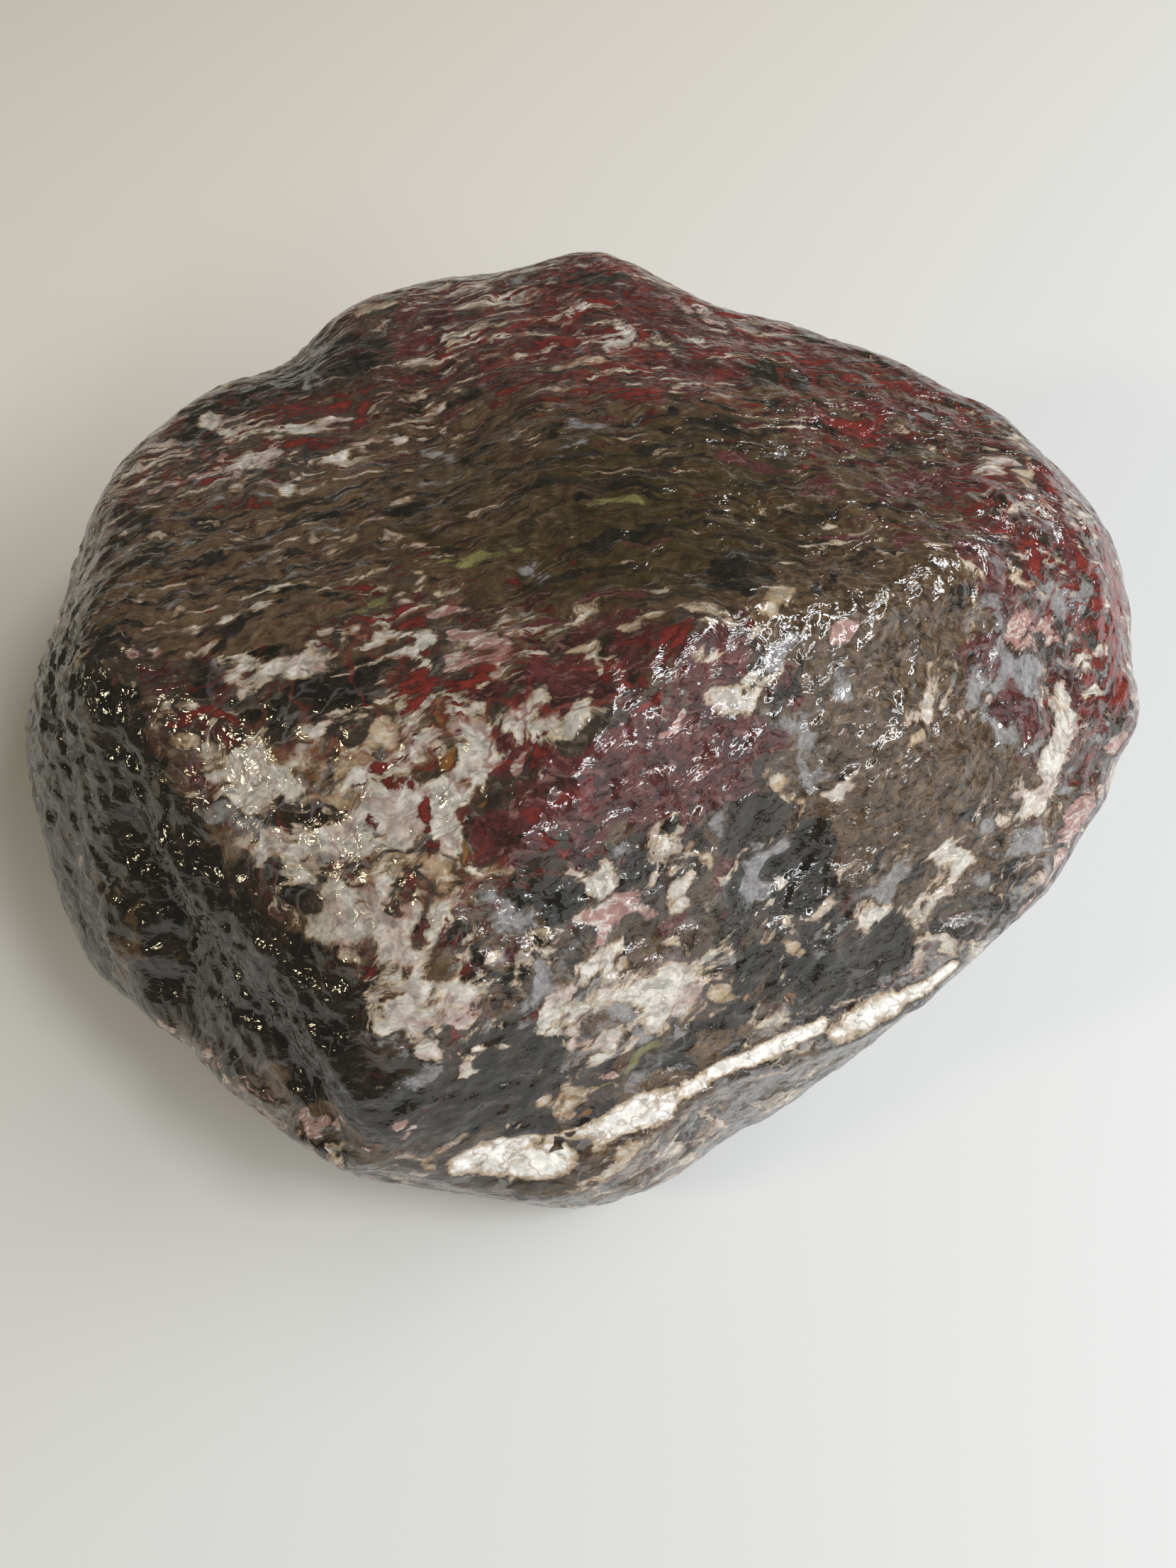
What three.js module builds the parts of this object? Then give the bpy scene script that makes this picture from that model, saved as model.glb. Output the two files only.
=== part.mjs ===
// A raw, water-worn block of banded iron formation, as one closed solid.
//
// Millimetres, +Z up, +X to the right along the layers, +Y away from the front. The stone rests on a
// small flat at Z = 0. The finished stone is centred on the origin in X and Y.
//
// The block is a rounded polyhedron. Each broken face is a plane, given by the direction it looks in
// and its distance from the block's middle. Neighbouring faces are blended into each other, and the
// lumps, hollows, clefts, the raised quartz vein and the grain of the layers are laid over them.
import * as THREE from "three";
import { ImprovedNoise } from "three/addons/math/ImprovedNoise.js";
import { mergeVertices } from "three/addons/utils/BufferGeometryUtils.js";

// Driving dimensions, in millimetres
const MIDDLE = new THREE.Vector3(0, 8, 50);

// The surface starts from a sphere of triangles, squeezed so that they come out even on the block
const SPHERE_DETAIL = 19;
const SPHERE_SQUEEZE = new THREE.Vector3(1, 0.9, 0.68);
const MERGE_DISTANCE = 1e-5;

// How sharply two faces meet: higher is sharper
const EDGE_SHARPNESS = 25;

// The direction the layers are stacked in, in degrees
const LAYER_AZIMUTH = 288;
const LAYER_ELEVATION = 35;

// Broken faces: where each looks, in degrees, and its reach from the middle in millimetres
const FACES = [
  { name: "top, left half", azimuth: 143, elevation: 76, reach: 43.5 },
  { name: "top, right half", azimuth: 40, elevation: 75, reach: 46 },
  { name: "pale front slope", azimuth: 243, elevation: 59, reach: 53.5 },
  { name: "left shoulder", azimuth: 178, elevation: 38, reach: 81 },
  { name: "left bulge", azimuth: 205, elevation: 20, reach: 91 },
  { name: "dark front left", azimuth: 232, elevation: 32, reach: 68.5 },
  { name: "great front right", azimuth: 293, elevation: 35, reach: 49.5 },
  { name: "below the vein", azimuth: 288, elevation: 17, reach: 62 },
  { name: "front right shoulder", azimuth: 318, elevation: 46, reach: 55 },
  { name: "right shoulder", azimuth: 350, elevation: 34, reach: 86 },
  { name: "upper right", azimuth: 25, elevation: 48, reach: 78 },
  { name: "back right", azimuth: 68, elevation: 20, reach: 84 },
  { name: "back", azimuth: 100, elevation: 20, reach: 94 },
  { name: "back left", azimuth: 130, elevation: 25, reach: 92 },
  { name: "left", azimuth: 152, elevation: 20, reach: 101 },
  { name: "undercut front right", azimuth: 312, elevation: -12, reach: 80 },
  { name: "undercut front", azimuth: 275, elevation: -12, reach: 88 },
  { name: "undercut front left", azimuth: 235, elevation: -15, reach: 93 },
  { name: "undercut left", azimuth: 190, elevation: -15, reach: 107 },
  { name: "undercut right", azimuth: 350, elevation: -15, reach: 96 },
  { name: "undercut right back", azimuth: 15, elevation: -10, reach: 105 },
  { name: "undercut back right", azimuth: 62, elevation: -10, reach: 91 },
  { name: "undercut back", azimuth: 100, elevation: -8, reach: 95 },
  { name: "undercut back left", azimuth: 140, elevation: -10, reach: 98 },
  { name: "underside right", azimuth: 3, elevation: -44, reach: 84 },
  { name: "underside back right", azimuth: 48, elevation: -46, reach: 79 },
  { name: "underside back", azimuth: 95, elevation: -42, reach: 81 },
  { name: "underside back left", azimuth: 140, elevation: -47, reach: 82 },
  { name: "underside left", azimuth: 184, elevation: -43, reach: 89 },
  { name: "underside front left", azimuth: 228, elevation: -46, reach: 83 },
  { name: "underside front", azimuth: 272, elevation: -44, reach: 84 },
  { name: "underside front right", azimuth: 318, elevation: -45, reach: 78 },
];

// Lumps and hollows: a point on the surface, how far round it they spread, and their height
// (a hollow's is below zero)
const LUMPS = [
  { name: "front foot", at: [2, -76, 18], spread: 26, height: 6 },
  { name: "hollow left of the foot", at: [-32, -76, 28], spread: 16, height: -1.5 },
  { name: "notch in the front foot", at: [26, -62, 15], spread: 7, height: -2 },
  { name: "brown lump on the left", at: [-77, -35, 48], spread: 11, height: 2.6 },
  { name: "hollow on the left bulge", at: [-102, 22, 48], spread: 18, height: -3.2 },
  { name: "left shoulder lump", at: [-88, 42, 66], spread: 20, height: 1.8 },
  { name: "notch at the back left", at: [-60, 74, 73], spread: 15, height: -4.5 },
  { name: "back left corner", at: [-43, 84, 75], spread: 12, height: 1.4 },
  { name: "dip beside the peak", at: [-17, 92, 77], spread: 15, height: -2.6 },
  { name: "peak", at: [4, 92, 79], spread: 15, height: 2.4 },
  { name: "dip right of the peak", at: [28, 80, 78], spread: 14, height: -1.5 },
  { name: "right bulge", at: [99, 6, 50], spread: 13, height: 2.6 },
  { name: "hollow under the right cleft", at: [88, -16, 42], spread: 14, height: -2.6 },
  { name: "bulb of the quartz vein", at: [48, -46, 36.5], spread: 10, height: 1.4 },
  { name: "smooth hollow on the great face", at: [30, -31, 69], spread: 17, height: -1.6 },
  { name: "swelling on the great face", at: [-8, -48, 66], spread: 16, height: 1.2 },
  { name: "swelling on the granular face", at: [50, -22, 70], spread: 20, height: 1.1 },
  { name: "dip on the top", at: [-30, 40, 85], spread: 26, height: -1.4 },
  { name: "swelling on the top", at: [20, 45, 88], spread: 24, height: 1.2 },
  { name: "dip behind the ridge", at: [-8, 2, 92], spread: 20, height: -1.2 },
  { name: "swelling on the pale slope", at: [-42, -18, 82], spread: 18, height: 1.3 },
  { name: "scar on the back", at: [30, 98, 42], spread: 30, height: -3.5 },
  { name: "hollow on the left back", at: [-92, 56, 34], spread: 26, height: -3.2 },
  { name: "lump on the right back", at: [88, 58, 40], spread: 22, height: 2.4 },
  { name: "hollow low on the right", at: [96, 22, 24], spread: 18, height: -2.2 },
];

// Ridges and clefts along a line of points on the surface; a cleft's height is below zero
const LINES = [
  {
    name: "quartz vein",
    path: [[57, -42, 36], [49, -46, 37], [40, -50, 35], [27, -54, 37], [12, -60, 35], [-1, -67, 29],
      [-11, -71, 27], [-18, -72, 30], [-25, -72, 37]],
    spread: 5.5,
    height: 2.6,
  },
  {
    name: "pale ledge at the lower left",
    path: [[-73, -46, 38], [-58, -57, 40], [-45, -66, 41], [-37, -70, 41]],
    spread: 6,
    height: 2,
  },
  {
    name: "shadowed cleft under the pale ledge",
    path: [[-74, -52, 29], [-57, -62, 31], [-43, -70, 32], [-34, -75, 31]],
    spread: 7,
    height: -2.2,
  },
  {
    name: "crest from the right shoulder to the middle",
    path: [[77, 45, 74], [65, 26, 81], [54, 11, 85], [41, 0, 90], [24, -3, 95], [14, -9, 97]],
    spread: 8,
    height: 1.6,
  },
  {
    name: "crest from the middle to the lower left",
    path: [[14, -9, 97], [5, -20, 94], [-5, -32, 86], [-19, -42, 78]],
    spread: 8,
    height: 1.3,
  },
  {
    name: "deep crevice on the dark face",
    path: [[-72, -26, 64], [-70, -31, 61], [-68, -38, 55], [-68, -44, 47], [-68, -49, 41]],
    spread: 6,
    height: -3.4,
  },
  {
    name: "fold on the dark face",
    path: [[-66, -30, 68], [-57, -38, 66], [-43, -49, 65], [-35, -60, 58], [-30, -66, 51]],
    spread: 6,
    height: 1.6,
  },
  {
    name: "cleft under the fold",
    path: [[-62, -40, 57], [-52, -50, 55], [-42, -60, 50], [-38, -65, 47]],
    spread: 6,
    height: -1.8,
  },
  {
    name: "crease on the left bulge",
    path: [[-88, -4, 70], [-86, -14, 62], [-88, -23, 51], [-84, -36, 40]],
    spread: 6,
    height: -1.7,
  },
  {
    name: "cleft on the right",
    path: [[96, -4, 47], [92, -4, 51], [85, -8, 55], [80, -13, 55], [79, -18, 52]],
    spread: 5.5,
    height: -2.8,
  },
  {
    name: "ledge round the right shoulder",
    path: [[74, 60, 71], [78, 45, 74], [80, 29, 76], [86, 16, 69], [90, 7, 61]],
    spread: 6,
    height: 1.3,
  },
  {
    name: "groove outside the right ledge",
    path: [[84, 52, 65], [89, 37, 67], [93, 22, 63], [97, 12, 55]],
    spread: 6,
    height: -1.3,
  },
  {
    name: "edge of the granular face",
    path: [[70, 2, 72], [72, -9, 64], [76, -18, 55], [74, -27, 47], [66, -33, 44], [57, -40, 41]],
    spread: 7,
    height: 1.1,
  },
  {
    name: "valley from the back left notch",
    path: [[-58, 70, 75], [-50, 58, 78], [-36, 44, 83], [-20, 38, 86]],
    spread: 9,
    height: -1.1,
  },
  {
    name: "ledge along the back",
    path: [[-66, 80, 40], [-30, 96, 48], [10, 99, 52], [48, 86, 50], [76, 68, 52]],
    spread: 8,
    height: 1.8,
  },
  {
    name: "cleft along the back",
    path: [[-74, 70, 30], [-40, 90, 36], [-5, 98, 38], [20, 96, 30]],
    spread: 7,
    height: -2,
  },
  {
    name: "fold low on the left",
    path: [[-100, 40, 40], [-104, 15, 36], [-98, -12, 32], [-84, -34, 28]],
    spread: 8,
    height: 1.6,
  },
];

// Waviness of the surface: size of the waves, their height, and how much tighter they lie across
// the layers than along them
const WAVES = [
  { size: 46, height: 1.7, layering: 1.3 },
  { size: 21, height: 1.1, layering: 1.8 },
  { size: 11, height: 0.55, layering: 2 },
];

// Each layer of waves is moved along, so that it doesn't repeat the last
const WAVE_SHIFT = 31.7;

const radians = THREE.MathUtils.degToRad;
const noise = new ImprovedNoise();

function pointing(azimuth, elevation) {
  const flat = Math.cos(radians(elevation));
  return new THREE.Vector3(
    flat * Math.cos(radians(azimuth)),
    flat * Math.sin(radians(azimuth)),
    Math.sin(radians(elevation)),
  );
}

const layerNormal = pointing(LAYER_AZIMUTH, LAYER_ELEVATION);

const facePlanes = FACES.map(({ azimuth, elevation, reach }) => ({
  normal: pointing(azimuth, elevation),
  reach,
}));

// How far the blended faces lie from the middle, in a direction
function reachOfFaces(direction) {
  let total = 0;
  for (const { normal, reach } of facePlanes) {
    total += Math.max(0, normal.dot(direction) / reach) ** EDGE_SHARPNESS;
  }
  return total ** (-1 / EDGE_SHARPNESS);
}

// The point of the blended faces in line with a given point
function onFaces(at) {
  const direction = new THREE.Vector3(...at).sub(MIDDLE).normalize();
  return direction.multiplyScalar(reachOfFaces(direction)).add(MIDDLE);
}

const lumps = LUMPS.map(({ at, spread, height }) => ({ centre: onFaces(at), spread, height }));

const lines = LINES.map(({ path, spread, height }) => {
  const points = path.map(onFaces);
  const pieces = points.slice(1).map((end, i) => new THREE.Line3(points[i], end));
  return { pieces, spread, height };
});

// One at the centre, falling smoothly to nothing at the spread
function falloff(distance, spread) {
  const left = 1 - (distance / spread) ** 2;
  return left > 0 ? left * left : 0;
}

function heightOfLumps(point) {
  let height = 0;
  for (const lump of lumps) {
    height += lump.height * falloff(point.distanceTo(lump.centre), lump.spread);
  }
  return height;
}

function heightOfLines(point) {
  const nearest = new THREE.Vector3();
  let height = 0;
  for (const line of lines) {
    let distance = Infinity;
    for (const piece of line.pieces) {
      piece.closestPointToPoint(point, true, nearest);
      distance = Math.min(distance, nearest.distanceTo(point));
    }
    height += line.height * falloff(distance, line.spread);
  }
  return height;
}

function heightOfWaves(point) {
  const across = layerNormal.dot(point);
  let height = 0;
  WAVES.forEach((wave, i) => {
    const p = point.clone().addScaledVector(layerNormal, across * (wave.layering - 1));
    p.divideScalar(wave.size).addScalar(i * WAVE_SHIFT);
    height += wave.height * noise.noise(p.x, p.y, p.z);
  });
  return height;
}

// The surface point in a direction from the middle, cut off level at the resting face
function surfacePoint(direction) {
  const smooth = reachOfFaces(direction);
  const point = direction.clone().multiplyScalar(smooth).add(MIDDLE);
  const rough = smooth + heightOfLumps(point) + heightOfLines(point) + heightOfWaves(point);
  const toRest = direction.z < 0 ? MIDDLE.z / -direction.z : Infinity;
  return direction.clone().multiplyScalar(Math.min(rough, toRest)).add(MIDDLE);
}

function stoneGeometry() {
  const sphere = new THREE.IcosahedronGeometry(1, SPHERE_DETAIL);
  sphere.deleteAttribute("normal");
  sphere.deleteAttribute("uv");
  const surface = mergeVertices(sphere, MERGE_DISTANCE);
  const vertices = surface.getAttribute("position");
  const direction = new THREE.Vector3();
  for (let i = 0; i < vertices.count; i++) {
    direction.fromBufferAttribute(vertices, i).multiply(SPHERE_SQUEEZE).normalize();
    const point = surfacePoint(direction);
    vertices.setXYZ(i, point.x, point.y, point.z);
  }
  return surface;
}

// Puts the origin on the resting face, under the middle of the outline
function centred(geometry) {
  geometry.computeBoundingBox();
  const middle = geometry.boundingBox.getCenter(new THREE.Vector3());
  return geometry.translate(-middle.x, -middle.y, 0);
}

const stone = new THREE.Mesh(
  centred(stoneGeometry()),
  new THREE.MeshStandardMaterial({ color: 0x4a3230, roughness: 0.3, metalness: 0 }),
);
stone.name = "stone";

const part = new THREE.Group();
part.add(stone);

export default part;
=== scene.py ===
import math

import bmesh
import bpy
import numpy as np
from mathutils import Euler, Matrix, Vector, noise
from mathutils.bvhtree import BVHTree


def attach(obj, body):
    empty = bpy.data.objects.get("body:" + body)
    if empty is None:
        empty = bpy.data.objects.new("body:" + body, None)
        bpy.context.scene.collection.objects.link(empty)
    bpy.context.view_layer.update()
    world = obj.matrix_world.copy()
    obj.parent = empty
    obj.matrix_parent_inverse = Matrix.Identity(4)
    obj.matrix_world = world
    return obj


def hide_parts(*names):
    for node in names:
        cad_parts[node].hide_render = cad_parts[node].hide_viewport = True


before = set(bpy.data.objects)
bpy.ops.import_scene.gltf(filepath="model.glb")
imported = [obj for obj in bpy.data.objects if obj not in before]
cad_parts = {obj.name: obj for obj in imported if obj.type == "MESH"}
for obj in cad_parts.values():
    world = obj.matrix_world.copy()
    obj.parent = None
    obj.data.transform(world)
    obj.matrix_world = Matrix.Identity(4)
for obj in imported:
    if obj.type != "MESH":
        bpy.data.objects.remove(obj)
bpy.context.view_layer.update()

# A raw block of banded iron formation, wet, on a pale table.
#
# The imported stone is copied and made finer, a crumpled relief is laid over it, and its colours are
# worked out in the material from soft zones, placed on the stone in millimetres, and from single
# strokes, each placed where the photograph's camera sees it. The streaks between them follow the
# layers of the rock, which bend a little from left to right.

bl_info = {
    "name": "Banded Iron Stone",
    "version": (1, 0, 0),
    "blender": (4, 5, 0),
    "location": "View3D > Sidebar > Stone",
    "description": "Dresses a raw block of banded iron formation with its relief, streaks and veins",
    "category": "Object",
}

MM = 0.001

# How the layers lie: they are stacked along this direction, and lean over more towards +X
LAYER_SLOPE = (0.18, -0.9, 0.4)
LAYER_BEND = 0.00125
# The direction within the layers that runs up the front of the stone
LAYER_RISE = (0.0, 0.4, 0.9)
# How many times longer than thick, and wider than thick, the streaks and the folds are
STREAK_RUN = (5.0, 3.0)
FOLD_RUN = (2.0, 1.6)
# The direction that the patches of the front right face are drawn out in
PATCH_RUN = (0.565, 0.638, 0.523)

# Heights above the table, in millimetres, where the relief begins and where it is full
RELIEF_START = (0.2, 4.0)
# The sizes that the relief is given, in millimetres
RELIEF_SIZES = ("Crumple height", "Crumple size", "Grain height", "Grain size")
# Waves that the strokes' edges wander in: size and reach, in millimetres
WANDERINGS = ((7.0, 3.6), (2.8, 1.8))
# Seed of these waves, so that each run makes the same ones
WANDER_SEED = 1
# Where a stroke's share begins to fall and where it ends, in half widths from its middle
STROKE_FADE = (0.2, 1.9)
# How far on either side of its edge one kind of rock blends into another
EDGE_BLEND = 0.09
# Height of the finest relief, in millimetres, which is a bump in the material
BUMP_HEIGHT = 1.25
# Refractive index of the wet surface
WET_IOR = 1.6

# The camera that took the photograph, in millimetres and degrees, and the picture's size in pixels
CAMERA_PLACE = (2.7, -115.8, 225.0)
CAMERA_PITCH = 62.0
CAMERA_LENS = 26.0
SENSOR = 36.0
PICTURE = (1659, 2212)

# Colours of the lights, and the direction across the table towards the window
DAYLIGHT = (0.96, 0.98, 1.0)
LAMPLIGHT = (1.0, 0.87, 0.55)
ROOM_TINT = (1.0, 0.94, 0.84, 1.0)
TOWARDS_WINDOW = (0.75, -0.66, 0.0)

# Soft zones of the stone: place and radius in millimetres, then the shares in hundredths. The core
# keeps a zone's weight finite in its middle.
ZONE_CORE = 0.02
# The haze share is thin quartz and also painted sheen: grey reflections of the bright room on smooth facets
SHARES = ("white", "red", "dark", "brown", "green", "maroon", "grain", "streak", "crumple", "haze_and_sheen")
ZONES = (
    ("top band centre", (12, 54, 84), 26, (43, 45, 20, 35, 0, 90, 10, 90, 30, 50)),
    ("top band right", (49, 38, 81), 22, (12, 35, 50, 60, 10, 60, 20, 90, 30, 20)),
    ("top band left", (-25, 64, 79), 20, (42, 30, 30, 40, 0, 60, 20, 80, 40, 50)),
    ("back left dark", (-50, 53, 74), 14, (15, 20, 75, 30, 0, 30, 20, 80, 50, 40)),
    ("back left streaks", (-63, 29, 76), 18, (52, 35, 30, 40, 0, 30, 10, 90, 30, 50)),
    ("brown band left", (-54, 2, 83), 22, (18, 10, 45, 75, 10, 15, 30, 90, 40, 40)),
    ("brown band", (-11, 3, 91), 24, (10, 10, 35, 95, 40, 15, 30, 90, 40, 20)),
    ("olive heart", (10, -2, 94), 16, (4, 5, 45, 90, 90, 10, 30, 90, 40, 10)),
    ("olive right", (28, 7, 90), 18, (3, 8, 40, 90, 70, 10, 40, 90, 40, 10)),
    ("band right", (51, 11, 85), 18, (12, 20, 30, 80, 30, 40, 50, 80, 40, 20)),
    ("pale slope", (-35, -44, 81), 22, (86, 30, 10, 60, 0, 30, 10, 80, 20, 80)),
    ("pale slope upper", (-20, -33, 91), 18, (74, 34, 10, 70, 10, 40, 10, 80, 20, 70)),
    ("pale slope left", (-52, -33, 82), 16, (62, 30, 20, 60, 0, 30, 20, 80, 30, 60)),
    ("red streaked", (-25, -21, 91), 18, (62, 34, 20, 70, 30, 30, 20, 90, 30, 50)),
    ("left dark top", (-76, -27, 71), 16, (8, 3, 98, 50, 40, 0, 20, 20, 100, 10)),
    ("left dark middle", (-61, -47, 62), 20, (2, 2, 98, 60, 40, 0, 20, 20, 100, 10)),
    ("left dark low", (-41, -68, 58), 16, (10, 10, 90, 60, 10, 20, 20, 20, 90, 20)),
    ("lower left pink", (-54, -73, 41), 13, (45, 20, 30, 70, 0, 40, 10, 90, 50, 90)),
    ("maroon front", (-4, -41, 90), 14, (15, 45, 40, 40, 0, 95, 10, 30, 50, 10)),
    ("maroon front upper", (6, -33, 96), 12, (25, 40, 35, 40, 0, 90, 10, 30, 50, 20)),
    ("speckled middle", (20, -32, 90), 16, (25, 20, 45, 50, 10, 75, 20, 10, 50, 40)),
    ("speckled low", (13, -46, 77), 16, (40, 15, 60, 50, 0, 50, 20, 10, 60, 45)),
    ("granular brown", (47, -22, 83), 20, (14, 0, 20, 100, 10, 5, 100, 10, 40, 40)),
    ("granular brown low", (61, -33, 66), 18, (25, 0, 40, 90, 0, 15, 90, 10, 40, 40)),
    ("pale haze right", (71, -12, 73), 14, (35, 20, 40, 40, 0, 80, 10, 20, 30, 70)),
    ("dark low", (-11, -75, 53), 15, (20, 15, 85, 30, 0, 20, 10, 10, 40, 35)),
    # The haze of the dark facets is painted sheen, the grey-blue reflection of the bright room
    ("dark facets", (33, -52, 59), 16, (25, 0, 75, 30, 0, 20, 20, 10, 50, 45)),
    ("white patches low", (5, -64, 60), 14, (56, 3, 50, 60, 0, 10, 30, 10, 50, 70)),
    ("white pillows", (-18, -65, 71), 12, (35, 25, 60, 60, 0, 40, 10, 10, 60, 40)),
    ("under the vein", (36, -71, 25), 18, (30, 3, 50, 50, 0, 20, 10, 90, 50, 100)),
    ("under the vein right", (66, -53, 32), 16, (30, 5, 50, 40, 0, 30, 10, 90, 40, 100)),
    ("right streaks", (80, 9, 78), 16, (40, 45, 40, 30, 0, 80, 10, 100, 30, 70)),
    ("right limb", (92, -2, 65), 16, (40, 50, 35, 30, 0, 90, 0, 100, 30, 80)),
    ("right low", (94, 0, 35), 26, (35, 30, 40, 40, 0, 70, 10, 100, 40, 90)),
    ("right back", (86, 48, 40), 30, (30, 40, 40, 40, 0, 70, 20, 100, 40, 50)),
    ("back", (20, 84, 45), 34, (25, 35, 45, 60, 10, 60, 30, 90, 50, 40)),
    ("back left", (-60, 60, 40), 32, (30, 30, 60, 60, 20, 30, 30, 90, 60, 40)),
    ("left", (-100, 0, 40), 26, (12, 8, 90, 60, 30, 10, 30, 60, 90, 30)),
    ("front foot", (0, -86, 18), 22, (35, 10, 55, 70, 0, 30, 10, 90, 50, 90)),
    ("underside", (0, 0, 0), 60, (25, 20, 50, 80, 10, 40, 40, 80, 30, 40)),
)
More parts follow.
